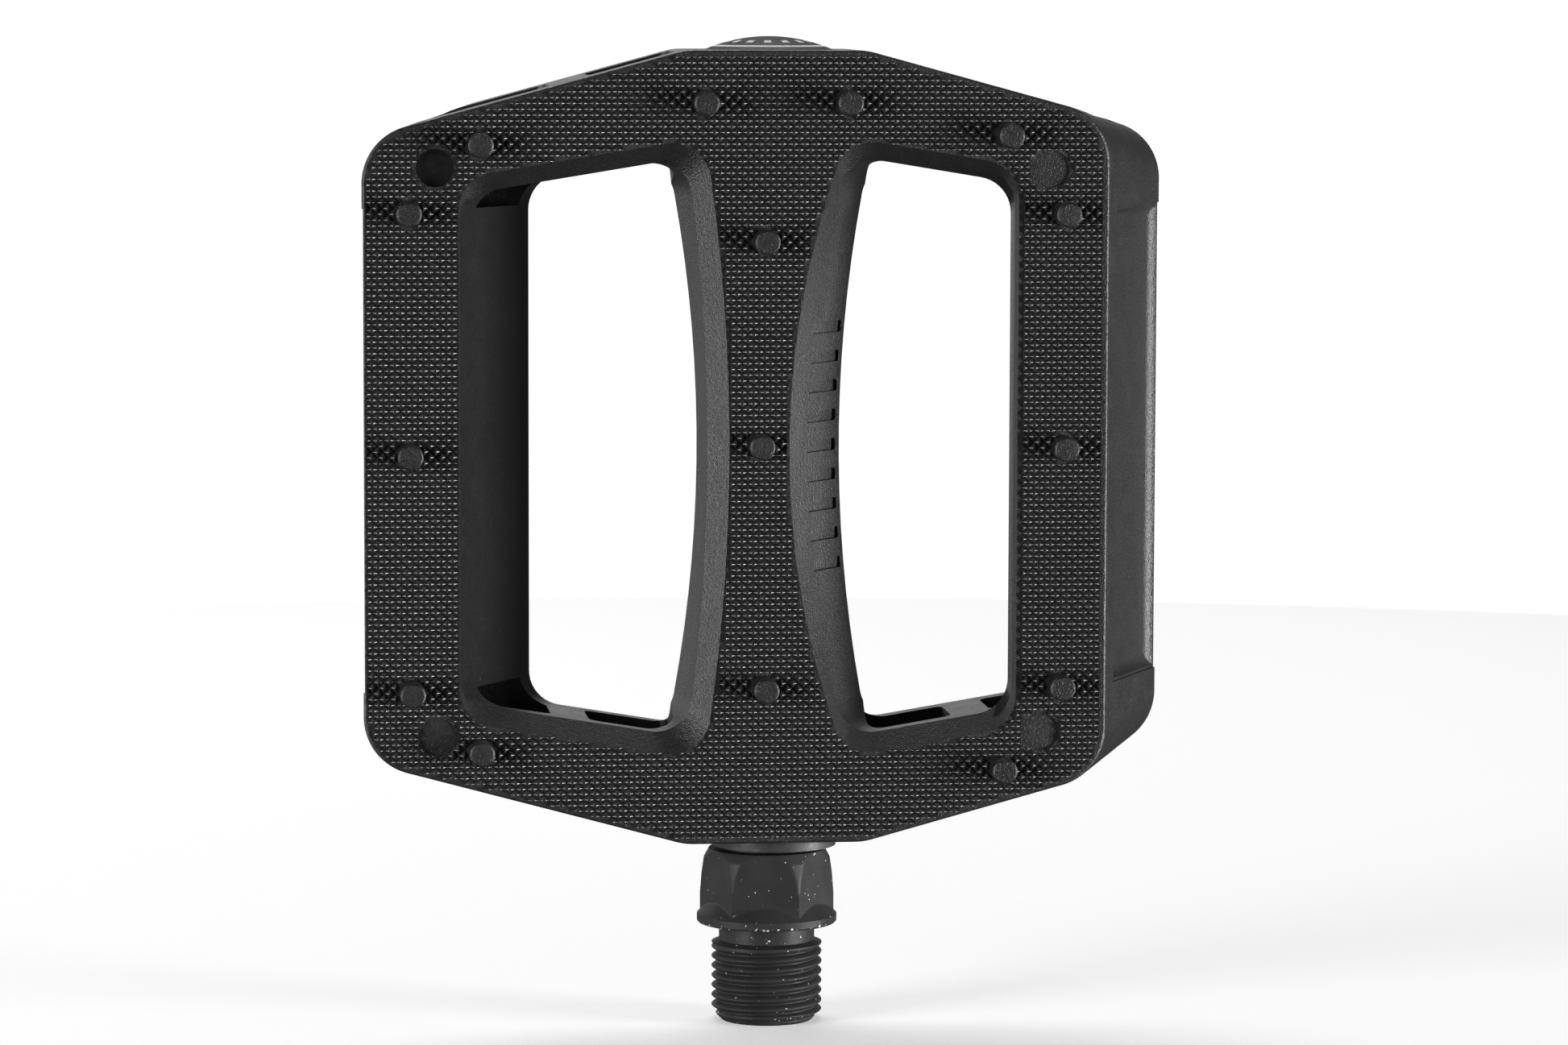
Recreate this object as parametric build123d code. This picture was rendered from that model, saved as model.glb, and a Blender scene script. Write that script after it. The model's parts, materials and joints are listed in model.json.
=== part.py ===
from build123d import *
import math
import os

# Right-hand flat pedal with a moulded nylon platform on a loose-ball steel axle.
# Millimetres. +Z is the axle's axis, from the crank end (z = 0) to the end cap.
# X runs across the platform and Y through its thickness: faces at -Y and +Y.
# The platform looks the same after half a turn about the axle.

# Platform outline. Both faces share one end profile; the sides lean, so each face
# is shifted sideways and the section is a parallelogram.
BODY_MID_Z = 74.8
BODY_HALF_HEIGHT = 50.5
FACE_Y = 9.4
END_FLAT_HALF = 11.5
END_SLOPE = 0.272
SIDE_MID_X = 47.55
SIDE_LEAN = 5.0
CORNER_RADIUS = 7.5
END_FLAT_RADIUS = 8.0
RIM_ROUND = 0.35

# Windows: one each side of the spine, with a bevel round each mouth
BEVEL_DEPTH = 2.4
WINDOW_TOP_Z = 38.5
WINDOW_TOP_X = 15.5
WINDOW_SLOPE = 0.165
BEVEL_RISE = 2.3
MOUTH_RADIUS = 5.0
THROAT_RADIUS = 4.6
# Window section at five depths, near face to far face:
# (spine waist x, spine side's arc radius, rail x, top inset, corner radius)
WINDOW_SECTIONS = (
    (-FACE_Y, 1.75, 106.0, 31.0, 0.0, MOUTH_RADIUS),
    (-FACE_Y + BEVEL_DEPTH, 3.7, 120.0, 30.3, BEVEL_RISE, THROAT_RADIUS),
    (0.0, 9.2, 178.0, 35.0, BEVEL_RISE, THROAT_RADIUS),
    (FACE_Y - BEVEL_DEPTH, 8.5, 270.0, 39.7, BEVEL_RISE, THROAT_RADIUS),
    (FACE_Y, 5.9, 245.0, 40.2, 0.0, MOUTH_RADIUS),
)

# Coring slots through both end walls
SLOT_HALF_Y = 4.8
SLOT_INNER = (12.5, 23.4)
SLOT_OUTER_START = 28.3
SLOT_OUTER_END = 43.6
SLOT_FLOOR_Z = 30.5
SLOT_ROUND = 1.2
SHEAR = SIDE_LEAN / FACE_Y

# Recess along each side wall, open to the leading rim by a shallow step
RECESS_HALF_Z = 30.6
RECESS_DEPTH = 1.1
RECESS_STEP = 0.3
RECESS_NEAR_Y = -6.5
RECESS_FAR_Y = 9.0
RECESS_FILLET = 2.0

# Moulded traction pins on the front face, (x, z from the platform's middle)
PIN_RADIUS = 1.6
PIN_HEIGHT = 3.5
PIN_EDGE = 0.25
PINS = (
    (-9.1, 43.9), (9.1, 43.9),
    (-37.5, 38.6), (29.6, 39.8),
    (-46.5, 30.0), (37.0, 29.8),
    (-1.4, 26.4),
    (-46.4, -0.5), (-2.0, 0.5), (36.9, 0.0),
    (-1.4, -30.5),
    (-46.2, -30.6), (36.6, -30.6),
    (-37.5, -38.2), (29.2, -41.2),
)

# Round ejector marks sunk in the front face, (x, z from the middle, depth)
MARK_RADIUS = 2.4
MARKS = (
    (-43.1, 35.7, 1.1),
    (-42.9, -36.3, 0.2),
    (35.1, 35.5, 0.2),
    (34.2, -36.5, 0.2),
)

# Plain debossed bars on the spine's broad flank
BAR_COUNT = 9
BAR_PITCH = 3.8
BAR_LENGTH = 7.0
BAR_WIDTH = 1.5
BAR_DEPTH = 0.5
BAR_ROUND = 0.35

# Bores in the spine
BORE_RADIUS = 5.3
CAP_BORE_RADIUS = 8.3
CAP_BORE_DEPTH = 4.2

# Bearings: 1/8 inch loose balls, the same row at both ends
BALL_RADIUS = 1.5875
BALL_COUNT = 11
BALL_CIRCLE_RADIUS = 5.75
RACE_RADIUS = 1.64
CUP_RADIUS = 8.0
CUP_LENGTH = 4.8
CUP_HOLE_RADIUS = 4.9
CUP_LIP = 2.4
INBOARD_BALL_Z = 27.0
OUTBOARD_BALL_Z = 116.6

# Axle, 9/16 inch by 20 threads per inch, right-hand
THREAD_RADIUS = 7.14
THREAD_PITCH = 1.27
THREAD_DEPTH = 0.72
THREAD_CREST = 0.24
THREAD_START_Z = 1.1
THREAD_TURNS = 7
END_CHAMFER = 1.3
NECK_RADIUS = 6.18
THREAD_END_Z = 10.11
NECK_START_Z = 10.5
FLANGE_RADIUS = 9.05
FLANGE_Z = 12.75
FLANGE_THICKNESS = 1.3
FLANGE_CONE_RISE = 2.6
HEX_ACROSS_FLATS = 15.0
HEX_TOP_Z = 22.4
HEX_TOP_RADIUS = 7.5
AXLE_CLOCKING = -7.5
CROWN = ((8.66, 16.5), (8.46, 19.1), (8.15, 21.2))
JOURNAL_RADIUS = 5.8
SHAFT_RADIUS = BALL_CIRCLE_RADIUS - RACE_RADIUS
END_THREAD_RADIUS = 3.5
END_THREAD_START_Z = 114.4
AXLE_END_Z = 123.6
CENTRE_DRILL_RADIUS = 1.6

# Dust washer: loose on the journal, so it sits a little to one side
WASHER_OUTER_RADIUS = 8.0
WASHER_INNER_RADIUS = 6.9
WASHER_SHIFT = 0.9
WASHER_BOTTOM_Z = 22.9

# Outboard stack on the axle's thread
THREAD_FIT = 0.02
CONE_RADIUS = 5.7
CONE_TOP_Z = 120.0
TAB_WASHER_RADIUS = 5.4
TAB_WASHER_THICKNESS = 0.8
KEYWAY_HALF_WIDTH = 0.8
KEYWAY_DEPTH = 0.6
KEYWAY_LENGTH = 4.2
LOCKNUT_ACROSS_FLATS = 10.0
LOCKNUT_HEIGHT = 2.4

# End cap
CAP_RADIUS = 8.25
CAP_DOME_RISE = 1.7
CAP_SKIRT_INNER = 7.3
CAP_SKIRT_LENGTH = 3.6
CAP_PLATE = 1.0

BODY_TOP_Z = BODY_MID_Z + BODY_HALF_HEIGHT
BODY_BOTTOM_Z = BODY_MID_Z - BODY_HALF_HEIGHT


def half_turn(shape):
    """The same shape after half a turn about the axle."""
    return shape.rotate(Axis.Z, 180)


def face_plane(y):
    """Sketch plane facing -Y at the given y; its local axes are X and Z from the middle."""
    return Plane(origin=(0, y, BODY_MID_Z), x_dir=(1, 0, 0), z_dir=(0, -1, 0))


def cylinder_z(radius, bottom, top, x=0.0, y=0.0):
    """Solid cylinder along Z between two heights."""
    middle = Pos(x, y, (bottom + top) / 2)
    return middle * Cylinder(radius, top - bottom)


def cylinder_y(radius, near, far, x, z):
    """Solid cylinder along Y; z is from the platform's middle."""
    middle = Pos(x, (near + far) / 2, BODY_MID_Z + z) * Rot(90, 0, 0)
    return middle * Cylinder(radius, far - near)


def platform_outline(y):
    """Outer outline of the platform at depth y."""
    shift = SHEAR * y
    left, right = shift - SIDE_MID_X, shift + SIDE_MID_X
    top = BODY_HALF_HEIGHT
    left_z = top - END_SLOPE * (-left - END_FLAT_HALF)
    right_z = top - END_SLOPE * (right - END_FLAT_HALF)
    points = [
        (-END_FLAT_HALF, top), (END_FLAT_HALF, top), (right, right_z), (right, -right_z),
        (END_FLAT_HALF, -top), (-END_FLAT_HALF, -top), (left, -left_z), (left, left_z),
    ]
    outline = make_face(Polyline(*points, close=True))
    sides = [v for v in outline.vertices() if abs(v.X) > 2 * END_FLAT_HALF]
    outline = fillet(sides, CORNER_RADIUS)
    flats = [v for v in outline.vertices() if abs(abs(v.Y) - top) < 1e-6]
    return face_plane(y) * fillet(flats, END_FLAT_RADIUS)


def window_section(y, waist, arc_radius, rail, inset, corner):
    """Section of the right-hand window at depth y."""
    def top_at(x):
        return WINDOW_TOP_Z - inset - WINDOW_SLOPE * (x - WINDOW_TOP_X)

    def spine_x(z):
        return waist + z * z / (2 * arc_radius)

    top_z = WINDOW_TOP_Z - inset
    for _ in range(20):
        top_z = top_at(spine_x(top_z))
    spine_top = (spine_x(top_z), top_z)
    spine_bottom = (spine_x(top_z), -top_z)
    edges = [
        ThreePointArc(spine_bottom, (waist, 0), spine_top),
        Line(spine_top, (rail, top_at(rail))),
        Line((rail, top_at(rail)), (rail, -top_at(rail))),
        Line((rail, -top_at(rail)), spine_bottom),
    ]
    section = make_face(edges)
    return face_plane(y) * fillet(section.vertices(), corner)


def window():
    """The right-hand window as a solid to cut away."""
    sections = [window_section(*row) for row in WINDOW_SECTIONS]
    return loft(sections, ruled=True)


def slot(points, bottom, top):
    """One coring slot: a rounded polygon in XY, cut along Z."""
    outline = make_face(Polyline(*points, close=True))
    outline = fillet(outline.vertices(), SLOT_ROUND)
    return Pos(0, 0, bottom) * extrude(outline, top - bottom)


def end_slots():
    """The two slots on the +X side of the top wall and their copies at every corner."""
    inner_start, inner_end = SLOT_INNER
    lean = SHEAR * SLOT_HALF_Y
    inner = [
        (inner_start, -SLOT_HALF_Y), (inner_end, -SLOT_HALF_Y),
        (inner_end, SLOT_HALF_Y), (inner_start, SLOT_HALF_Y),
    ]
    outer = [
        (SLOT_OUTER_START, -SLOT_HALF_Y), (SLOT_OUTER_END - lean, -SLOT_HALF_Y),
        (SLOT_OUTER_END + lean, SLOT_HALF_Y), (SLOT_OUTER_START, SLOT_HALF_Y),
    ]
    cuts = []
    for points in (inner, outer):
        high = slot(points, BODY_MID_Z + SLOT_FLOOR_Z, BODY_TOP_Z + 1)
        low = slot(points, BODY_BOTTOM_Z - 1, BODY_MID_Z - SLOT_FLOOR_Z)
        cuts += [high, low, half_turn(high), half_turn(low)]
    return cuts


def side_recess():
    """Recess in the +X side wall: a pocket, and a shallow step out to the far rim."""
    def strip(near, far, depth):
        wall = [SIDE_MID_X + SHEAR * y for y in (near, far)]
        inward = depth * math.hypot(1, SHEAR)
        outline = make_face(Polyline(
            (wall[0] - inward, near), (wall[0] + 2, near),
            (wall[1] + 2, far), (wall[1] - inward, far), close=True))
        bottom = BODY_MID_Z - RECESS_HALF_Z
        return Pos(0, 0, bottom) * extrude(outline, 2 * RECESS_HALF_Z)

    pocket = strip(RECESS_NEAR_Y, RECESS_FAR_Y, RECESS_DEPTH)
    floor = pocket.faces().sort_by(lambda f: f.normal_at().X)[0]
    swept = [e for e in floor.edges() if e.center().Y > RECESS_NEAR_Y + 0.1]
    pocket = fillet(swept, RECESS_FILLET)
    step = strip(RECESS_NEAR_Y, FACE_Y + 1, RECESS_STEP)
    return [pocket, step]


def flank_bars():
    """Plain bars sunk in the broad flank on the front, right of the spine's textured strip."""
    near, far = WINDOW_SECTIONS[1], WINDOW_SECTIONS[2]
    run, rise = far[1] - near[1], far[0] - near[0]
    lean = math.degrees(math.atan2(rise, run))
    bars = []
    for i in range(BAR_COUNT):
        z = (i - (BAR_COUNT - 1) / 2) * BAR_PITCH
        x = (near[1] + far[1] + z * z / (2 * near[2]) + z * z / (2 * far[2])) / 2
        bar = Box(BAR_LENGTH, 2 * BAR_DEPTH, BAR_WIDTH)
        bar = fillet(bar.edges().filter_by(Axis.Y), BAR_ROUND)
        place = Pos(x, (near[0] + far[0]) / 2, BODY_MID_Z + z) * Rot(0, 0, lean)
        bars.append(place * bar)
    return bars


def pin(x, z):
    """One moulded pin on the front face, rooted inside the body."""
    root, tip = -FACE_Y + 1.0, -FACE_Y - PIN_HEIGHT
    stud = cylinder_y(PIN_RADIUS, tip, root, x, z)
    return chamfer(stud.edges().sort_by(Axis.Y)[0], PIN_EDGE)


def pedal_body():
    body = loft([platform_outline(-FACE_Y), platform_outline(FACE_Y)], ruled=True)
    rims = [e for e in body.edges() if e.bounding_box().size.Y < 1e-3]
    body = fillet(rims, RIM_ROUND)
    opening = window()
    cuts = [opening, half_turn(opening)]
    cuts += end_slots()
    for cut in side_recess() + flank_bars():
        cuts += [cut, half_turn(cut)]
    for x, z, depth in MARKS:
        mark = cylinder_y(MARK_RADIUS, -FACE_Y - 1, -FACE_Y + depth, x, z)
        cuts += [mark, half_turn(mark)]
    cuts.append(cylinder_z(BORE_RADIUS, BODY_BOTTOM_Z - 1, BODY_TOP_Z + 1))
    cuts.append(cylinder_z(CUP_RADIUS, BODY_BOTTOM_Z - 1, cup_floor_z(INBOARD_BALL_Z, 1)))
    cuts.append(cylinder_z(CUP_RADIUS, cup_floor_z(OUTBOARD_BALL_Z, -1), BODY_TOP_Z + 1))
    cuts.append(cylinder_z(CAP_BORE_RADIUS, BODY_TOP_Z - CAP_BORE_DEPTH, BODY_TOP_Z + 1))
    for cut in cuts:
        body = body - cut
    for x, z in PINS:
        stud = pin(x, z)
        body = body + stud + half_turn(stud)
    return body


def cup_floor_z(ball_z, inward):
    """Height of a cup's back, which stands on the end of its seat; inward is +1 or -1."""
    return ball_z + inward * (CUP_LENGTH - CUP_LIP)


def race_ring(ball_z):
    """The torus that a race follows, a little larger than the balls."""
    return Pos(0, 0, ball_z) * Torus(BALL_CIRCLE_RADIUS, RACE_RADIUS)


def bearing_cup(ball_z, inward):
    """Pressed cup: a short sleeve with a holed floor and a rolled race between them."""
    back = cup_floor_z(ball_z, inward)
    mouth = ball_z - inward * CUP_LIP
    cup = cylinder_z(CUP_RADIUS, min(back, mouth), max(back, mouth))
    cup -= cylinder_z(CUP_HOLE_RADIUS, min(back, mouth) - 1, max(back, mouth) + 1)
    open_end = mouth - inward
    mouth_radius = BALL_CIRCLE_RADIUS + RACE_RADIUS
    cup -= cylinder_z(mouth_radius, min(ball_z, open_end), max(ball_z, open_end))
    return cup - race_ring(ball_z)


def ball(ball_z, index):
    angle = 2 * math.pi * index / BALL_COUNT
    x = BALL_CIRCLE_RADIUS * math.cos(angle)
    y = BALL_CIRCLE_RADIUS * math.sin(angle)
    return Pos(x, y, ball_z) * Sphere(BALL_RADIUS)


def thread_groove(z):
    """One V groove round the pedal thread, centred at height z."""
    half = (THREAD_PITCH - THREAD_CREST) / 2
    profile = Plane.XZ * make_face(Polyline(
        (THREAD_RADIUS + 0.5, z - half), (THREAD_RADIUS, z - half),
        (THREAD_RADIUS - THREAD_DEPTH, z), (THREAD_RADIUS, z + half),
        (THREAD_RADIUS + 0.5, z + half), close=True))
    return revolve(profile, Axis.Z)


def hex_section():
    """Wrench flats between the flange and the crown, turned to the crown's profile."""
    flange_top = FLANGE_Z + FLANGE_THICKNESS
    height = HEX_TOP_Z - flange_top
    prism = Rot(0, 0, AXLE_CLOCKING) * extrude(
        RegularPolygon(HEX_ACROSS_FLATS / 2, 6, major_radius=False), height)
    edges = [
        Polyline((0, HEX_TOP_Z), (0, flange_top), (CROWN[0][0] + 0.5, flange_top),
                 (CROWN[0][0] + 0.5, CROWN[0][1] - 1), CROWN[0]),
        Spline(*CROWN, (HEX_TOP_RADIUS, HEX_TOP_Z)),
        Line((HEX_TOP_RADIUS, HEX_TOP_Z), (0, HEX_TOP_Z)),
    ]
    turned = revolve(Plane.XZ * make_face(edges), Axis.Z)
    return (Pos(0, 0, flange_top) * prism) & turned


def axle():
    flange_top = FLANGE_Z + FLANGE_THICKNESS
    cone_top = flange_top + FLANGE_CONE_RISE
    race_z = INBOARD_BALL_Z
    profile = Plane.XZ * make_face(Polyline(
        (0, 0), (THREAD_RADIUS - END_CHAMFER, 0), (THREAD_RADIUS, END_CHAMFER),
        (THREAD_RADIUS, THREAD_END_Z), (NECK_RADIUS, NECK_START_Z),
        (NECK_RADIUS, FLANGE_Z), (FLANGE_RADIUS, FLANGE_Z), (FLANGE_RADIUS, flange_top),
        (HEX_TOP_RADIUS - 1, cone_top), (JOURNAL_RADIUS, HEX_TOP_Z),
        (JOURNAL_RADIUS, race_z), (SHAFT_RADIUS, race_z),
        (SHAFT_RADIUS, END_THREAD_START_Z), (END_THREAD_RADIUS, END_THREAD_START_Z),
        (END_THREAD_RADIUS, AXLE_END_Z), (0, AXLE_END_Z), close=True))
    body = revolve(profile, Axis.Z) + hex_section()
    body = body - race_ring(race_z)
    for i in range(THREAD_TURNS):
        body = body - thread_groove(THREAD_START_Z + (i + 0.5) * THREAD_PITCH)
    body = body - cylinder_z(CENTRE_DRILL_RADIUS, -1, CENTRE_DRILL_RADIUS)
    keyway = Box(2 * KEYWAY_HALF_WIDTH, 2 * KEYWAY_DEPTH, 2 * KEYWAY_LENGTH)
    return body - Pos(0, END_THREAD_RADIUS, AXLE_END_Z) * keyway


def dust_washer():
    toward = math.radians(AXLE_CLOCKING)
    x, y = WASHER_SHIFT * math.cos(toward), WASHER_SHIFT * math.sin(toward)
    ring = cylinder_z(WASHER_OUTER_RADIUS, WASHER_BOTTOM_Z, BODY_BOTTOM_Z, x, y)
    return ring - cylinder_z(WASHER_INNER_RADIUS, WASHER_BOTTOM_Z - 1, BODY_BOTTOM_Z + 1, x, y)


def outboard_cone():
    cone = cylinder_z(CONE_RADIUS, OUTBOARD_BALL_Z, CONE_TOP_Z)
    cone -= cylinder_z(END_THREAD_RADIUS + THREAD_FIT, OUTBOARD_BALL_Z - 1, CONE_TOP_Z + 1)
    return cone - race_ring(OUTBOARD_BALL_Z)


def tab_washer():
    bottom, top = CONE_TOP_Z, CONE_TOP_Z + TAB_WASHER_THICKNESS
    washer = cylinder_z(TAB_WASHER_RADIUS, bottom, top)
    washer -= cylinder_z(END_THREAD_RADIUS + THREAD_FIT, bottom - 1, top + 1)
    tab_y = END_THREAD_RADIUS + THREAD_FIT - KEYWAY_DEPTH / 2
    tab = Box(2 * KEYWAY_HALF_WIDTH - 0.1, KEYWAY_DEPTH, TAB_WASHER_THICKNESS)
    return washer + Pos(0, tab_y, (bottom + top) / 2) * tab


def lock_nut():
    bottom = CONE_TOP_Z + TAB_WASHER_THICKNESS
    prism = extrude(RegularPolygon(LOCKNUT_ACROSS_FLATS / 2, 6, major_radius=False), LOCKNUT_HEIGHT)
    nut = Pos(0, 0, bottom) * prism
    hole = cylinder_z(END_THREAD_RADIUS + THREAD_FIT, bottom - 1, bottom + LOCKNUT_HEIGHT + 1)
    return nut - hole


def end_cap():
    """Domed plug: the dome stands on the platform's end, its skirt fills the bore's mouth."""
    sphere_radius = (CAP_RADIUS**2 + CAP_DOME_RISE**2) / (2 * CAP_DOME_RISE)
    edges = [
        Polyline((0, BODY_TOP_Z + CAP_DOME_RISE), (0, BODY_TOP_Z - CAP_PLATE),
                 (CAP_SKIRT_INNER, BODY_TOP_Z - CAP_PLATE),
                 (CAP_SKIRT_INNER, BODY_TOP_Z - CAP_SKIRT_LENGTH),
                 (CAP_RADIUS, BODY_TOP_Z - CAP_SKIRT_LENGTH), (CAP_RADIUS, BODY_TOP_Z)),
        RadiusArc((CAP_RADIUS, BODY_TOP_Z), (0, BODY_TOP_Z + CAP_DOME_RISE), -sphere_radius),
    ]
    return revolve(Plane.XZ * make_face(edges), Axis.Z)


def write(name, shape):
    export_step(shape, f"parts/{name}.step")


os.makedirs("parts", exist_ok=True)
write("pedal_body", pedal_body())
write("axle", axle())
write("dust_washer", dust_washer())
write("inboard_cup", bearing_cup(INBOARD_BALL_Z, 1))
write("outboard_cup", bearing_cup(OUTBOARD_BALL_Z, -1))
write("outboard_cone", outboard_cone())
write("tab_washer", tab_washer())
write("lock_nut", lock_nut())
write("end_cap", end_cap())
for i in range(BALL_COUNT):
    write(f"inboard_ball_{i + 1:02d}", ball(INBOARD_BALL_Z, i))
    write(f"outboard_ball_{i + 1:02d}", ball(OUTBOARD_BALL_Z, i))
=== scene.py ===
import json
import math

import bmesh
import bpy
import numpy as np
from mathutils import Matrix, Vector
from mathutils.bvhtree import BVHTree
from mathutils.geometry import convex_hull_2d


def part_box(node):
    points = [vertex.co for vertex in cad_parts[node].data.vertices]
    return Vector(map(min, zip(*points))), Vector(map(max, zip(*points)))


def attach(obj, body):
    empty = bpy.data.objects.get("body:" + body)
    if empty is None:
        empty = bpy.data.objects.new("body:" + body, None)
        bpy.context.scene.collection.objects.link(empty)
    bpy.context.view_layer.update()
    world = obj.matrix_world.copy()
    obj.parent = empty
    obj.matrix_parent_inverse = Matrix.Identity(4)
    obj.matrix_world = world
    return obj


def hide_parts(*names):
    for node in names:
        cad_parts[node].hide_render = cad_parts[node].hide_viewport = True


# Looks for a moulded nylon flat pedal on a black-oxide steel axle.
# Lengths below are in millimetres and become metres through MM.
MM = 0.001

# Camera: azimuth, pitch and roll in degrees, distance and aim point in millimetres
CAMERA_AZIMUTH = -6.4
CAMERA_PITCH = 5.49
CAMERA_ROLL = 0.156
CAMERA_DISTANCE = 720.0
CAMERA_AIM_RIGHT = 2.12
CAMERA_AIM_Z = 64.6
CAMERA_LENS = 128.4
CAMERA_SENSOR = 36.0

# Softboxes, in metres and watts: name, place, width, height and power, all aimed at one point
LIGHT_AIM = (0.0, 0.0, 0.07)
SOFTBOXES = (
    ("left_softbox", (-0.75, -0.42, 0.08), 0.36, 0.60, 10.0),
    ("left_rear_fill", (-0.60, 0.60, 0.20), 0.50, 0.50, 1.2),
    ("right_softbox", (0.79, -0.33, -0.02), 0.28, 0.46, 17.0),
    ("top_softbox", (0.0, 0.60, 0.80), 0.7, 0.4, 4.0),
)

# Studio: brightness all round, of the backdrop's lit part and of the backdrop as the camera
# sees it, and the Y and Z of a direction between which the lit part fades in
STUDIO_GLOW = 0.085
BACKDROP_GLOW = 0.9
BACKDROP_SEEN = 1.05
BACKDROP_Y = (0.90, 0.985)
BACKDROP_Z = (-0.02, 0.06)

# Floor: its own glow, its radius and the sides of its rim
FLOOR_GLOW = 0.34
FLOOR_RADIUS = 500.0
FLOOR_SIDES = 96

# Moulded grip pattern: truncated pyramids on a diamond lattice
PYRAMID_HALF_X = 0.72
PYRAMID_HALF_Z = 0.73
PYRAMID_HEIGHT = 0.40
PYRAMID_TOP_X = 0.16
PYRAMID_TOP_Z = 0.11
PYRAMID_RIDGE = 0.060
PYRAMID_ROOT = 0.25
PYRAMID_LIFT = 0.004
GRIP_EDGE_MARGIN = 0.15
QUARTERS = ((-1, -1), (1, -1), (-1, 1), (1, 1))

# The flat face that carries the grip: how near its level a corner of its outline lies and a
# tested point lies, how squarely its mesh and a tested point face the front, and how far in
# front of the body the tests start
OUTLINE_TOLERANCE = 0.02
FACE_TOLERANCE = 0.03
MESH_FACING = 0.999
POINT_FACING = 0.99
TEST_START = 1.0

# Nylon: roughness range and moulded grain
NYLON_IOR = 1.50
NYLON_ROUGH = (0.34, 0.44)
GRAIN_DEPTH = 0.16
GRAIN_STRENGTH = 0.9

# The windows' outer walls, drawn smooth by the mould: how they lean across per depth, how far
# from the axle they stand at mid thickness, how far the finish reaches off them, through the
# thickness and along the height from the middle, and its share of the roughness and grain
WALL_LEAN = 0.675
WALL_OFFSET = 35.0
WALL_REACH = 1.2
WALL_HALF_Y = 8.0
WALL_HALF_Z = 34.5
WALL_FADE = 0.4
WALL_ROUGH_SHARE = 0.615
WALL_GRAIN_SHARE = 0.45

# Deep ejector mark: its centre from the platform's middle, its depth below the face, and the
# thin smooth disc on its floor
FACE_Y = 9.4
MARK_X = -43.1
MARK_Z = 35.7
MARK_DEPTH = 1.1
MARK_RADIUS = 2.36
MARK_SKIN = 0.03
MARK_SIDES = 64

# Axle from the crank end, 9/16 inch by 20 threads per inch, right-hand
CENTRE_HOLE_RADIUS = 1.6
CENTRE_HOLE_DEPTH = 1.5
CENTRE_HOLE_TIP = 0.05
THREAD_RADIUS = 7.14
THREAD_PITCH = 1.27
THREAD_DEPTH = 0.72
THREAD_ROOT_SHARE = 0.12
THREAD_START_Z = 0.4
THREAD_END_Z = 10.11
THREAD_FADE = 0.55
END_CHAMFER = 1.3
NECK_RADIUS = 6.18
NECK_START_Z = 10.5
NECK_FILLET = 0.35
FLANGE_RADIUS = 9.05
FLANGE_Z = 12.75
FLANGE_TOP_Z = 14.05
FLANGE_EDGE = 0.22
CONE_TOP_RADIUS = 6.5
CONE_TOP_Z = 16.65
HEX_APOTHEM = 7.5
HEX_START_Z = 14.06
HEX_TOP_Z = 22.4
HEX_CLOCKING = -7.5
CROWN_RADII = (9.2, 8.66, 8.46, 8.15, 7.5)
CROWN_HEIGHTS = (14.0, 16.5, 19.1, 21.2, 22.4)
JOURNAL_RADIUS = 5.8
RACE_Z = 27.0
RACE_RADIUS = 1.64
BALL_CIRCLE_RADIUS = 5.75
SHAFT_RADIUS = 4.11
SHAFT_START_Z = 27.1
END_THREAD_RADIUS = 3.5
END_THREAD_START_Z = 114.4
END_THREAD_CHAMFER = 0.4

# Steps of the axle's mesh: round it, along its thread, its hexagon and its race
AXLE_SIDES = 192
THREAD_STEPS = 150
HEX_STEPS = 70
RACE_STEPS = 12
AXLE_SHARP_ANGLE = 28

# Bright nicks in the axle's black skin: heights of the two edges that wear, how near an edge
# the wear is full and where it ends, what it adds to the noise, and the noise that bares steel
WORN_EDGES = (0.9, 12.95)
WORN_REACH = (0.08, 0.25)
WORN_GAIN = 0.13
NICK_NOISE = (0.885, 0.93)

# Printed ring and ticks on the end cap
RING_INNER = 6.75
RING_OUTER = 7.25
TICK_INNER = 4.5
TICK_OUTER = 5.6
TICK_COUNT = 14
TICK_SHARE = 0.40


def platform_middle():
    """Height of the platform's middle, in metres."""
    low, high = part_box("pedal_body")
    return (low.z + high.z) / 2


# ---------------------------------------------------------------- node helpers
def new_material(name):
    material = bpy.data.materials.new(name)
    material.use_nodes = True
    nodes = material.node_tree.nodes
    nodes.clear()
    output = nodes.new("ShaderNodeOutputMaterial")
    shader = nodes.new("ShaderNodeBsdfPrincipled")
    material.node_tree.links.new(shader.outputs["BSDF"], output.inputs["Surface"])
    return material, shader


def node(owner, kind, inputs=None, **settings):
    """Adds a node to a material or a world. Each input is a socket to link or a plain value."""
    made = owner.node_tree.nodes.new(kind)
    for key, value in settings.items():
        setattr(made, key, value)
    for key, value in (inputs or {}).items():
        if isinstance(value, bpy.types.NodeSocket):
            owner.node_tree.links.new(value, made.inputs[key])
        else:
            made.inputs[key].default_value = value
    return made


def math_node(owner, operation, first, second=0.0):
    return node(owner, "ShaderNodeMath", {0: first, 1: second}, operation=operation).outputs[0]


def remap(owner, value, low, high, to_low, to_high):
    inputs = {"Value": value, "From Min": low, "From Max": high, "To Min": to_low, "To Max": to_high}
    return node(owner, "ShaderNodeMapRange", inputs, clamp=True).outputs["Result"]


def separate(owner, vector):
    return node(owner, "ShaderNodeSeparateXYZ", {0: vector}).outputs[:]


def object_coordinates(material):
    return node(material, "ShaderNodeTexCoord").outputs["Object"]


def noise(material, where, size_mm, detail=2.0, roughness=0.5):
    """Noise whose features are about size_mm across."""
    inputs = {"Vector": where, "Scale": 1 / (size_mm * MM), "Detail": detail, "Roughness": roughness}
    return node(material, "ShaderNodeTexNoise", inputs).outputs["Fac"]


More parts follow.
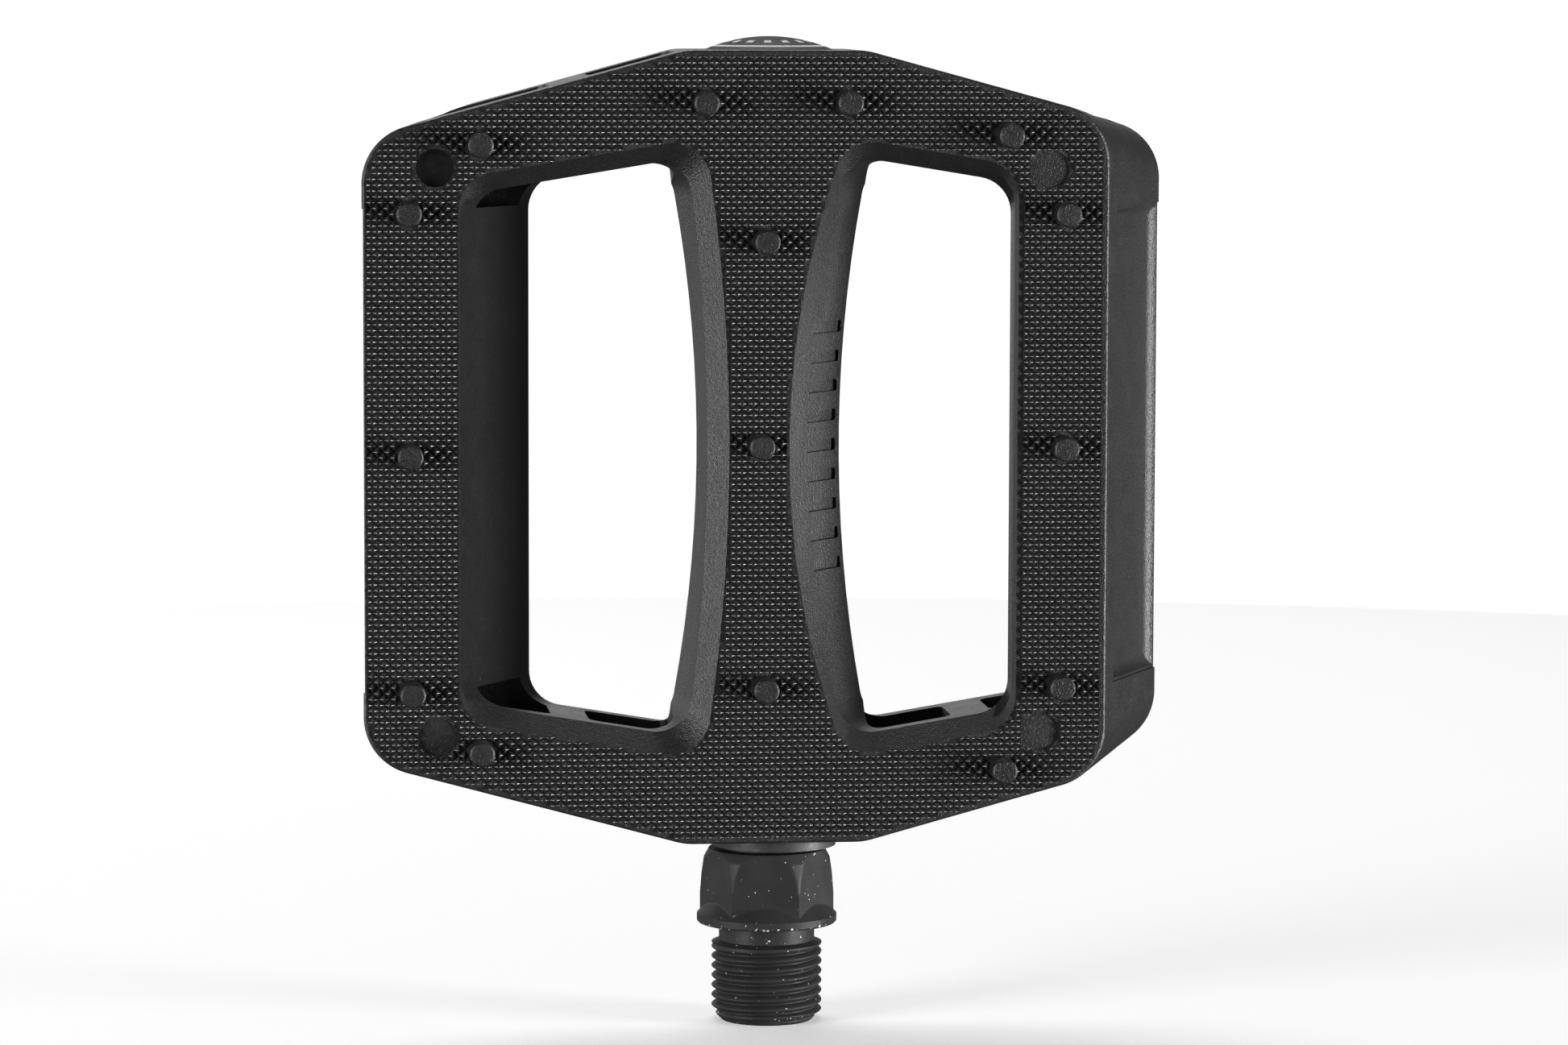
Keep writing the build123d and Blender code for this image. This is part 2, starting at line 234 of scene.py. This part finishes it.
def mix_colour(material, factor, first, second):
    inputs = {0: factor, 6: first, 7: second}
    return node(material, "ShaderNodeMix", inputs, data_type="RGBA").outputs[2]


def bump(material, height, depth_mm, strength=1.0):
    inputs = {"Height": height, "Distance": depth_mm * MM, "Strength": strength}
    return node(material, "ShaderNodeBump", inputs).outputs["Normal"]


def grey(level, tint=(1.0, 1.0, 1.0)):
    return tuple(level * t for t in tint) + (1.0,)


def dress(material, shader, colour, roughness, normal):
    """Links the three sockets that vary over the surface."""
    for socket, value in (("Base Color", colour), ("Roughness", roughness), ("Normal", normal)):
        material.node_tree.links.new(value, shader.inputs[socket])


# ---------------------------------------------------------------- materials
def window_wall_mask(material, where):
    """1 on the outer walls of the two windows, which the mould draws smooth, and 0 elsewhere."""
    x, y, z = separate(material, where)

    def within(value, reach_mm):
        away = math_node(material, "ABSOLUTE", value)
        return remap(material, away, reach_mm * MM, (reach_mm + WALL_FADE) * MM, 1.0, 0.0)

    leaned = math_node(material, "SUBTRACT", x, math_node(material, "MULTIPLY", y, WALL_LEAN))
    off_wall = math_node(material, "SUBTRACT", math_node(material, "ABSOLUTE", leaned), WALL_OFFSET * MM)
    from_middle = math_node(material, "SUBTRACT", z, platform_middle())
    across = math_node(material, "MULTIPLY", within(off_wall, WALL_REACH), within(y, WALL_HALF_Y))
    return math_node(material, "MULTIPLY", across, within(from_middle, WALL_HALF_Z))


def nylon_material():
    """Black moulded nylon with spark-eroded grain, faint flow variation and pale dust."""
    material, shader = new_material("black_nylon")
    where = object_coordinates(material)
    fine = noise(material, where, 0.20, 2.0, 0.6)
    coarse = noise(material, where, 0.5)
    patches = noise(material, where, 14.0, 3.0)
    dust = noise(material, where, 0.5, 1.0)
    scuff = noise(material, where, 3.0, 4.0, 0.65)
    drawn = window_wall_mask(material, where)

    base = mix_colour(material, patches, grey(0.005, (1, 1, 1.02)), grey(0.009, (1, 1, 1.01)))
    base = mix_colour(material, remap(material, fine, 0.50, 0.68, 0.0, 0.7), base, grey(0.016))
    base = mix_colour(material, remap(material, dust, 0.76, 0.82, 0.0, 0.3), base, grey(0.10))
    moulded = remap(material, scuff, 0.3, 0.7, *NYLON_ROUGH)
    smoother = remap(material, drawn, 0.0, 1.0, 1.0, WALL_ROUGH_SHARE)
    rough = math_node(material, "MULTIPLY", moulded, smoother)
    grain = math_node(material, "ADD", math_node(material, "MULTIPLY", fine, 0.7),
                      math_node(material, "MULTIPLY", coarse, 0.3))
    strength = remap(material, drawn, 0.0, 1.0, GRAIN_STRENGTH, GRAIN_STRENGTH * WALL_GRAIN_SHARE)
    dress(material, shader, base, rough, bump(material, grain, GRAIN_DEPTH, strength))
    shader.inputs["IOR"].default_value = NYLON_IOR
    return material


def painted_sheen_grip_material():
    """The same nylon on the pyramids, smoother, and paler in colour as a painted sheen standing in for the
    light its ridges catch.
    """
    material, shader = new_material("grip_nylon_painted_sheen")
    where = object_coordinates(material)
    # The paler greys are painted sheen: they lift the grip's colour to stand in for light on its ridges.
    base = mix_colour(material, noise(material, where, 9.0, 3.0), grey(0.011), grey(0.016))
    rough = remap(material, noise(material, where, 1.1, 1.0), 0.3, 0.7, 0.24, 0.35)
    dress(material, shader, base, rough, bump(material, noise(material, where, 0.14, 2.0, 0.6), 0.04, 0.6))
    shader.inputs["IOR"].default_value = NYLON_IOR
    return material


def mark_material():
    """Nylon moulded against a lapped ejector pin: smooth and dark, with faint rubbing."""
    material, shader = new_material("mark_nylon")
    where = object_coordinates(material)
    rubbed = noise(material, where, 0.7, 3.0)
    base = mix_colour(material, rubbed, grey(0.006), grey(0.010))
    rough = remap(material, rubbed, 0.3, 0.7, 0.24, 0.36)
    dress(material, shader, base, rough, bump(material, noise(material, where, 0.2), 0.02, 0.5))
    shader.inputs["IOR"].default_value = NYLON_IOR
    return material


def nick_mask(material, where):
    """1 where small nicks bare the steel, most of them along the worn edges."""
    spread = math_node(material, "MULTIPLY", noise(material, where, 2.6, 1.0), 0.25)
    found = math_node(material, "ADD", noise(material, where, 0.42, 1.0), spread)
    height = separate(material, where)[2]
    near, far = WORN_REACH
    for edge in WORN_EDGES:
        away = math_node(material, "ABSOLUTE", math_node(material, "SUBTRACT", height, edge * MM))
        found = math_node(material, "ADD", found, remap(material, away, near * MM, far * MM, WORN_GAIN, 0.0))
    return remap(material, found, *NICK_NOISE, 0.0, 1.0)


def steel_material(name, level, rough, tint=(1.0, 1.0, 1.0), grain_mm=0.35, depth_mm=0.01,
                   nick_level=None, metallic=1.0, specular=0.5):
    """Steel with a turned or ground grain; nick_level adds small bright nicks through a dark skin."""
    material, shader = new_material(name)
    where = object_coordinates(material)
    stretched = node(material, "ShaderNodeMapping", {"Vector": where, "Scale": (1.0, 1.0, 4.0)}).outputs[0]
    patches = noise(material, where, 3.5, 3.0)
    base = mix_colour(material, patches, grey(level * 0.75, tint), grey(level * 1.25, tint))
    if nick_level:
        base = mix_colour(material, nick_mask(material, where), base, grey(nick_level, tint))
    roughness = remap(material, patches, 0.3, 0.7, rough * 0.85, rough * 1.15)
    grain = noise(material, stretched, grain_mm, 3.0, 0.6)
    dress(material, shader, base, roughness, bump(material, grain, depth_mm, 0.6))
    shader.inputs["Metallic"].default_value = metallic
    shader.inputs["Specular IOR Level"].default_value = specular
    return material


def rubber_material():
    material, shader = new_material("washer_rubber")
    where = object_coordinates(material)
    patches = noise(material, where, 1.2, 3.0)
    base = mix_colour(material, patches, grey(0.012), grey(0.02))
    rough = remap(material, patches, 0.3, 0.7, 0.5, 0.65)
    dress(material, shader, base, rough, bump(material, noise(material, where, 0.3), 0.02))
    return material


def cap_print_mask(material, where):
    """1 on the cap's printed ring and on the row of plain ticks inside it."""
    x, y, _ = separate(material, where)
    squares = [math_node(material, "MULTIPLY", axis, axis) for axis in (x, y)]
    radius = math_node(material, "SQRT", math_node(material, "ADD", *squares))
    radius_mm = math_node(material, "DIVIDE", radius, MM)

    def band(low, high):
        above = math_node(material, "GREATER_THAN", radius_mm, low)
        below = math_node(material, "LESS_THAN", radius_mm, high)
        return math_node(material, "MULTIPLY", above, below)

    turns = math_node(material, "MULTIPLY", math_node(material, "ARCTAN2", y, x), TICK_COUNT / math.tau)
    share = math_node(material, "FRACT", math_node(material, "ADD", turns, float(TICK_COUNT)))
    on_tick = math_node(material, "LESS_THAN", share, TICK_SHARE)
    ticks = math_node(material, "MULTIPLY", band(TICK_INNER, TICK_OUTER), on_tick)
    return math_node(material, "MAXIMUM", band(RING_INNER, RING_OUTER), ticks)


def cap_material():
    """Satin black cap with pale print, worn here and there."""
    material, shader = new_material("cap_plastic")
    where = object_coordinates(material)
    wear = remap(material, noise(material, where, 0.35, 3.0), 0.32, 0.42, 0.35, 1.0)
    printed = math_node(material, "MULTIPLY", cap_print_mask(material, where), wear)
    patches = noise(material, where, 4.0, 3.0)
    base = mix_colour(material, patches, grey(0.010), grey(0.018))
    base = mix_colour(material, printed, base, grey(0.85))
    rough = remap(material, patches, 0.3, 0.7, 0.42, 0.52)
    dress(material, shader, base, rough, bump(material, noise(material, where, 0.3), 0.012))
    shader.inputs["Specular IOR Level"].default_value = 0.08
    return material


def floor_material():
    material, shader = new_material("pale_floor")
    tone = noise(material, object_coordinates(material), 400.0)
    base = mix_colour(material, tone, grey(0.88), grey(0.90))
    material.node_tree.links.new(base, shader.inputs["Base Color"])
    shader.inputs["Roughness"].default_value = 0.7
    shader.inputs["Emission Color"].default_value = (1.0, 1.0, 1.0, 1.0)
    shader.inputs["Emission Strength"].default_value = FLOOR_GLOW
    return material


# ---------------------------------------------------------------- mesh helpers
def circle(sides, radius=1.0):
    """Points at equal steps round a circle."""
    turns = [math.tau * k / sides for k in range(sides)]
    return [(radius * math.cos(turn), radius * math.sin(turn)) for turn in turns]


def mesh_object(name, vertices, faces, material, sharp_angle=None):
    mesh = bpy.data.meshes.new(name)
    mesh.from_pydata([tuple(float(c) * MM for c in v) for v in vertices], [], faces)
    mesh.materials.append(material)
    if sharp_angle is not None:
        mesh.shade_smooth()
        mesh.set_sharp_from_angle(angle=math.radians(sharp_angle))
    mesh.validate()
    made = bpy.data.objects.new(name, mesh)
    bpy.context.scene.collection.objects.link(made)
    return made


def fix_normals(made):
    """Turns every face outwards."""
    work = bmesh.new()
    work.from_mesh(made.data)
    bmesh.ops.recalc_face_normals(work, faces=work.faces)
    work.to_mesh(made.data)
    work.free()


def add_to_platform(name, vertices, faces, material):
    """Makes a nylon piece that turns with the platform."""
    made = mesh_object(name, vertices, faces, material)
    fix_normals(made)
    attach(made, "platform")


# ---------------------------------------------------------------- grip pattern
def outline_edges(points):
    """(start, step) of each side of the points' convex outline, anticlockwise."""
    outline = [points[i] for i in convex_hull_2d(points)]
    area = sum(a.x * b.y - b.x * a.y for a, b in zip(outline, outline[1:] + outline[:1]))
    if area < 0:
        outline.reverse()
    sides = zip(outline, outline[1:] + outline[:1])
    return [(a, b - a) for a, b in sides if (b - a).length > 1e-6]


def inside_margin(edges, x, z):
    """How far a point lies inside a convex outline, in millimetres."""
    return min((edge.x * (z - a.y) - edge.y * (x - a.x)) / edge.length for a, edge in edges)


def front_face_of(body):
    """The body's ray tester, its front face's level and that face's outline, in millimetres."""
    mesh = body.data
    points = [v.co / MM for v in mesh.vertices]
    tree = BVHTree.FromPolygons(points, [p.vertices[:] for p in mesh.polygons])
    areas = {}
    for polygon in mesh.polygons:
        if polygon.normal.y < -MESH_FACING:
            height = round(points[polygon.vertices[0]].y, 2)
            areas[height] = areas.get(height, 0.0) + polygon.area
    level = max(areas, key=areas.get)
    on_face = [Vector((p.x, p.z)) for p in points if abs(p.y - level) < OUTLINE_TOLERANCE]
    return tree, level, outline_edges(on_face)


def grip_quadrants(body):
    """(i, j, a, b) of each quarter pyramid that lies wholly on the flat front face, and the face's level.

    Lattice points with i + j even are pyramid centres and the others are corners; a and b
    say which side of the centre the quarter lies on.
    """
    tree, level, edges = front_face_of(body)
    low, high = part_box("pedal_body")
    middle_z = platform_middle() / MM
    start_y = low.y / MM - TEST_START
    seen = {}

    def on_face(u, v):
        if (u, v) not in seen:
            x, z = u * PYRAMID_HALF_X, middle_z + v * PYRAMID_HALF_Z
            hit, normal, _, _ = tree.ray_cast(Vector((x, start_y, z)), Vector((0, 1, 0)))
            flat = hit is not None and abs(hit.y - level) < FACE_TOLERANCE and normal.y < -POINT_FACING
            seen[(u, v)] = flat and inside_margin(edges, x, z) > GRIP_EDGE_MARGIN
        return seen[(u, v)]

    quadrants = []
    columns = int((high.x - low.x) / MM / PYRAMID_HALF_X / 2) + 1
    rows = int((high.z - low.z) / MM / PYRAMID_HALF_Z / 2) + 1
    for j in range(-rows, rows + 1):
        for i in range(-columns, columns + 1):
            if (i + j) % 2:
                continue
            for a, b in QUARTERS:
                points = ((i, j), (i + a, j), (i, j + b),
                          (i + a / 2, j + b / 2), (i + a / 2, j), (i, j + b / 2))
                if all(on_face(*p) for p in points):
                    quadrants.append((i, j, a, b))
    return quadrants, level


def grip_mesh(quadrants, level):
    """Vertices and faces of closed sheets of pyramids, cut off square where the face ends."""
    vertices, index, faces = [], {}, []
    base, root, top = level - PYRAMID_LIFT, level + PYRAMID_ROOT, level - PYRAMID_HEIGHT
    middle_z = platform_middle() / MM

    def vertex(key, i, j, dx, y, dz):
        if key not in index:
            index[key] = len(vertices)
            vertices.append((i * PYRAMID_HALF_X + dx, y, middle_z + j * PYRAMID_HALF_Z + dz))
        return index[key]

    present = set(quadrants)
    for i, j, a, b in quadrants:
        side = vertex(("base", i + a, j), i + a, j, 0, base, 0)
        end = vertex(("base", i, j + b), i, j + b, 0, base, 0)
        side_root = vertex(("root", i + a, j), i + a, j, 0, root, 0)
        end_root = vertex(("root", i, j + b), i, j + b, 0, root, 0)
        centre_root = vertex(("root", i, j), i, j, 0, root, 0)
        centre = vertex(("top", i, j), i, j, 0, top, 0)
        ridge = vertex(("ridge", i, j, a), i, j, a * PYRAMID_TOP_X, top, 0)
        shoulder = vertex(("shoulder", i, j, a, b), i, j, a * PYRAMID_TOP_X, top, b * PYRAMID_RIDGE)
        crest = vertex(("crest", i, j, b), i, j, 0, top, b * PYRAMID_TOP_Z)
        made = [(side, ridge, shoulder), (end, side, shoulder, crest), (shoulder, ridge, centre, crest),
                (side_root, end_root, centre_root)]
        if (i, j, a, -b) not in present:
            made.append((side, side_root, centre_root, centre, ridge))
        if (i, j, -a, b) not in present:
            made.append((end, crest, centre, centre_root, end_root))
        if (i + a, j + b, -a, -b) not in present:
            made.append((side, end, end_root, side_root))
        if a * b < 0:
            made = [tuple(reversed(face)) for face in made]
        faces += made
    return vertices, faces


def build_grip(body, material):
    """The front sheet of pyramids, and the back one, which is the front turned half a turn."""
    vertices, faces = grip_mesh(*grip_quadrants(body))
    for name, sign in (("grip_front", 1.0), ("grip_back", -1.0)):
        turned = [(sign * x, sign * y, z) for x, y, z in vertices]
        add_to_platform(name, turned, faces, material)


# ---------------------------------------------------------------- ejector marks
def build_marks(material):
    """A thin disc on the floor of the deep ejector mark of each face."""
    middle_z = platform_middle() / MM
    faces = [tuple(range(MARK_SIDES)), tuple(range(MARK_SIDES, 2 * MARK_SIDES))]
    for k in range(MARK_SIDES):
        follow = (k + 1) % MARK_SIDES
        faces.append((k, follow, MARK_SIDES + follow, MARK_SIDES + k))
    for side, sign in (("front", 1.0), ("back", -1.0)):
        vertices = []
        for skin in (-MARK_SKIN, MARK_SKIN):
            for dx, dz in circle(MARK_SIDES, MARK_RADIUS):
                y = MARK_DEPTH - FACE_Y + skin
                vertices.append((sign * (MARK_X + dx), sign * y, middle_z + MARK_Z + dz))
        add_to_platform(f"ejector_mark_{side}_1", vertices, faces, material)


# ---------------------------------------------------------------- axle
def thread_cut(z, angle):
    """How deep the helical thread is cut at a height and angle."""
    phase = (z / THREAD_PITCH - angle / math.tau) % 1.0
    from_crest = 1.0 - abs(phase - 0.5) * 2.0
    depth = 1.0 - math.cos(math.pi / 2 * min(from_crest / (1.0 - THREAD_ROOT_SHARE), 1.0))
    fade_in = (z - THREAD_START_Z) / THREAD_FADE
    fade_out = (THREAD_END_Z - z) / THREAD_FADE
    return THREAD_DEPTH * depth * min(fade_in, fade_out, 1.0)


def hex_radius(z, angle):
    """Radius of the crowned hexagon at a height and angle."""
    crown = float(np.interp(z, CROWN_HEIGHTS, CROWN_RADII))
    local = (angle - math.radians(HEX_CLOCKING)) % (math.pi / 3) - math.pi / 6
    return min(crown, HEX_APOTHEM / math.cos(local))


# Each row of the axle is (radius, z, kind), from the crank end; kind says what shapes the row.
def thread_rows():
    """Countersunk centre, chamfered end and thread."""
    end = THREAD_RADIUS - END_CHAMFER
    rows = [(CENTRE_HOLE_TIP, CENTRE_HOLE_DEPTH, "plain"), (CENTRE_HOLE_RADIUS, 0.0, "plain"),
            (end, 0.0, "plain"), (end + THREAD_START_Z, THREAD_START_Z, "plain")]
    for i in range(1, THREAD_STEPS):
        z = THREAD_START_Z + (THREAD_END_Z - THREAD_START_Z) * i / THREAD_STEPS
        rows.append((min(THREAD_RADIUS, end + z), z, "thread"))
    return rows + [(THREAD_RADIUS, THREAD_END_Z, "plain")]


def flange_rows():
    """Neck and flange."""
    inner = FLANGE_RADIUS - FLANGE_EDGE
    return [(NECK_RADIUS, NECK_START_Z, "plain"), (NECK_RADIUS, FLANGE_Z - NECK_FILLET, "plain"),
            (NECK_RADIUS + NECK_FILLET, FLANGE_Z, "plain"), (inner, FLANGE_Z, "plain"),
            (FLANGE_RADIUS, FLANGE_Z + FLANGE_EDGE, "plain"),
            (FLANGE_RADIUS, FLANGE_TOP_Z - FLANGE_EDGE, "plain"), (inner, FLANGE_TOP_Z, "plain")]


def hex_rows():
    """Wrench flats, which rise out of a cone on the flange."""
    heights = (FLANGE_TOP_Z, CONE_TOP_Z, HEX_TOP_Z)
    radii = (FLANGE_RADIUS - FLANGE_EDGE, CONE_TOP_RADIUS, JOURNAL_RADIUS)
    rows = []
    for i in range(HEX_STEPS + 1):
        z = HEX_START_Z + (HEX_TOP_Z - HEX_START_Z) * i / HEX_STEPS
        rows.append((float(np.interp(z, heights, radii)), z, "hex"))
    return rows + [(JOURNAL_RADIUS, HEX_TOP_Z, "plain")]


def shaft_rows():
    """Inboard ball race, shaft and outboard thread."""
    rows = []
    for i in range(RACE_STEPS + 1):
        below = RACE_RADIUS * math.cos(math.pi / 2 * i / RACE_STEPS)
        bite = BALL_CIRCLE_RADIUS - math.sqrt(max(RACE_RADIUS**2 - below**2, 0.0))
        rows.append((min(JOURNAL_RADIUS, bite), RACE_Z - below, "plain"))
    _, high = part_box("axle")
    end = high.z / MM
    return rows + [(SHAFT_RADIUS, SHAFT_START_Z, "plain"), (SHAFT_RADIUS, END_THREAD_START_Z, "plain"),
                   (END_THREAD_RADIUS, END_THREAD_START_Z, "plain"),
                   (END_THREAD_RADIUS, end - END_THREAD_CHAMFER, "plain"),
                   (END_THREAD_RADIUS - END_THREAD_CHAMFER, end, "plain")]


def row_radius(radius, z, kind, angle):
    if kind == "thread":
        return radius - thread_cut(z, angle)
    if kind == "hex":
        return max(radius, hex_radius(z, angle))
    return radius


def build_axle(material):
    rows = thread_rows() + flange_rows() + hex_rows() + shaft_rows()
    vertices = []
    for radius, z, kind in rows:
        for k in range(AXLE_SIDES):
            angle = math.tau * k / AXLE_SIDES
            r = row_radius(radius, z, kind, angle)
            vertices.append((r * math.cos(angle), r * math.sin(angle), z))
    last = (len(rows) - 1) * AXLE_SIDES
    faces = [tuple(reversed(range(AXLE_SIDES))), tuple(range(last, last + AXLE_SIDES))]
    for start in range(0, last, AXLE_SIDES):
        for k in range(AXLE_SIDES):
            a, b = start + k, start + (k + 1) % AXLE_SIDES
            faces.append((a, b, b + AXLE_SIDES, a + AXLE_SIDES))
    made = mesh_object("axle_turned", vertices, faces, material, AXLE_SHARP_ANGLE)
    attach(made, "axle_assembly")
    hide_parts("axle")


# ---------------------------------------------------------------- stage
def build_floor():
    """A pale disc that neither shows in the object nor lights it."""
    rim = [(x, y, 0.0) for x, y in circle(FLOOR_SIDES, FLOOR_RADIUS)]
    made = mesh_object("floor", rim, [tuple(range(FLOOR_SIDES))], floor_material())
    made.visible_glossy = False
    made.visible_diffuse = False
    made.visible_shadow = False


def build_softbox(name, place, width, height, power):
    data = bpy.data.lights.new(name, "AREA")
    data.shape = "RECTANGLE"
    data.size, data.size_y = width, height
    data.energy = power
    made = bpy.data.objects.new(name, data)
    bpy.context.scene.collection.objects.link(made)
    made.location = place
    made.rotation_mode = "QUATERNION"
    made.rotation_quaternion = (Vector(LIGHT_AIM) - Vector(place)).to_track_quat("-Z", "Y")


def build_world():
    """A dim studio with a lit backdrop straight behind the object, white where the camera sees past it."""
    world = bpy.data.worlds.new("studio")
    world.use_nodes = True
    background = world.node_tree.nodes["Background"]
    _, along, up = separate(world, node(world, "ShaderNodeTexCoord").outputs["Generated"])
    behind = remap(world, along, *BACKDROP_Y, 0.0, 1.0)
    above = remap(world, up, *BACKDROP_Z, 0.0, BACKDROP_GLOW)
    glow = math_node(world, "ADD", math_node(world, "MULTIPLY", behind, above), STUDIO_GLOW)
    seen = node(world, "ShaderNodeLightPath").outputs["Is Camera Ray"]
    strength = math_node(world, "MAXIMUM", glow, math_node(world, "MULTIPLY", seen, BACKDROP_SEEN))
    world.node_tree.links.new(strength, background.inputs["Strength"])
    background.inputs["Color"].default_value = (1.0, 1.0, 1.0, 1.0)
    bpy.context.scene.world = world


def build_camera():
    yaw, pitch, roll = (math.radians(a) for a in (-CAMERA_AZIMUTH, CAMERA_PITCH, CAMERA_ROLL))
    forward = Vector((math.cos(pitch) * math.sin(yaw), math.cos(pitch) * math.cos(yaw), -math.sin(pitch)))
    right = Vector((math.cos(yaw), -math.sin(yaw), 0.0))
    up = right.cross(forward)
    tilted_right = right * math.cos(roll) + up * math.sin(roll)
    tilted_up = up * math.cos(roll) - right * math.sin(roll)
    target = right * CAMERA_AIM_RIGHT + Vector((0.0, 0.0, CAMERA_AIM_Z))
    place = (target - forward * CAMERA_DISTANCE) * MM
    data = bpy.data.cameras.new("camera")
    data.sensor_width = CAMERA_SENSOR
    data.lens = CAMERA_LENS
    data.clip_start, data.clip_end = 0.01, 20.0
    made = bpy.data.objects.new("camera", data)
    bpy.context.scene.collection.objects.link(made)
    axes = Matrix((tilted_right, tilted_up, -forward)).transposed()
    made.matrix_world = Matrix.Translation(place) @ axes.to_4x4()
    bpy.context.scene.camera = made


# ---------------------------------------------------------------- scene
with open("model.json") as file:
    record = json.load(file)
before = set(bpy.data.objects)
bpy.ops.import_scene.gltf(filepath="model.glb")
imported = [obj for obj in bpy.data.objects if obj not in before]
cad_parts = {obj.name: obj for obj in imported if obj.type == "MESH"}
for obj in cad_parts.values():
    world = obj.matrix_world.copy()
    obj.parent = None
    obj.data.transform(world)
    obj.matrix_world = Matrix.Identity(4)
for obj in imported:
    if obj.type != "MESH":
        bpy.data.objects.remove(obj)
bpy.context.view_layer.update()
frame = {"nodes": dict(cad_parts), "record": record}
bpy.context.scene.view_settings.view_transform = "Standard"

build_camera()
for softbox in SOFTBOXES:
    build_softbox(*softbox)
build_world()
build_floor()

nodes = frame["nodes"]
slot_materials = {
    "nylon": nylon_material(),
    "axle_steel": steel_material("black_oxide", 0.022, 0.50, (1.0, 1.0, 1.03), grain_mm=0.3, depth_mm=0.012,
                                 nick_level=0.5, metallic=0.0, specular=0.14),
    "washer_rubber": rubber_material(),
    "cup_steel": steel_material("cup_steel", 0.42, 0.28),
    "cone_steel": steel_material("cone_steel", 0.40, 0.22),
    "zinc_steel": steel_material("zinc_steel", 0.55, 0.32, (0.97, 0.98, 1.0)),
    "ball_steel": steel_material("ball_steel", 0.66, 0.08, depth_mm=0.001),
    "cap_plastic": cap_material(),
}
for part in frame["record"]["subparts"]:
    cad = nodes[part["node"]]
    cad.data.materials.clear()
    cad.data.materials.append(slot_materials[part["material_slot"]])

build_grip(nodes["pedal_body"], painted_sheen_grip_material())
build_marks(mark_material())
build_axle(slot_materials["axle_steel"])
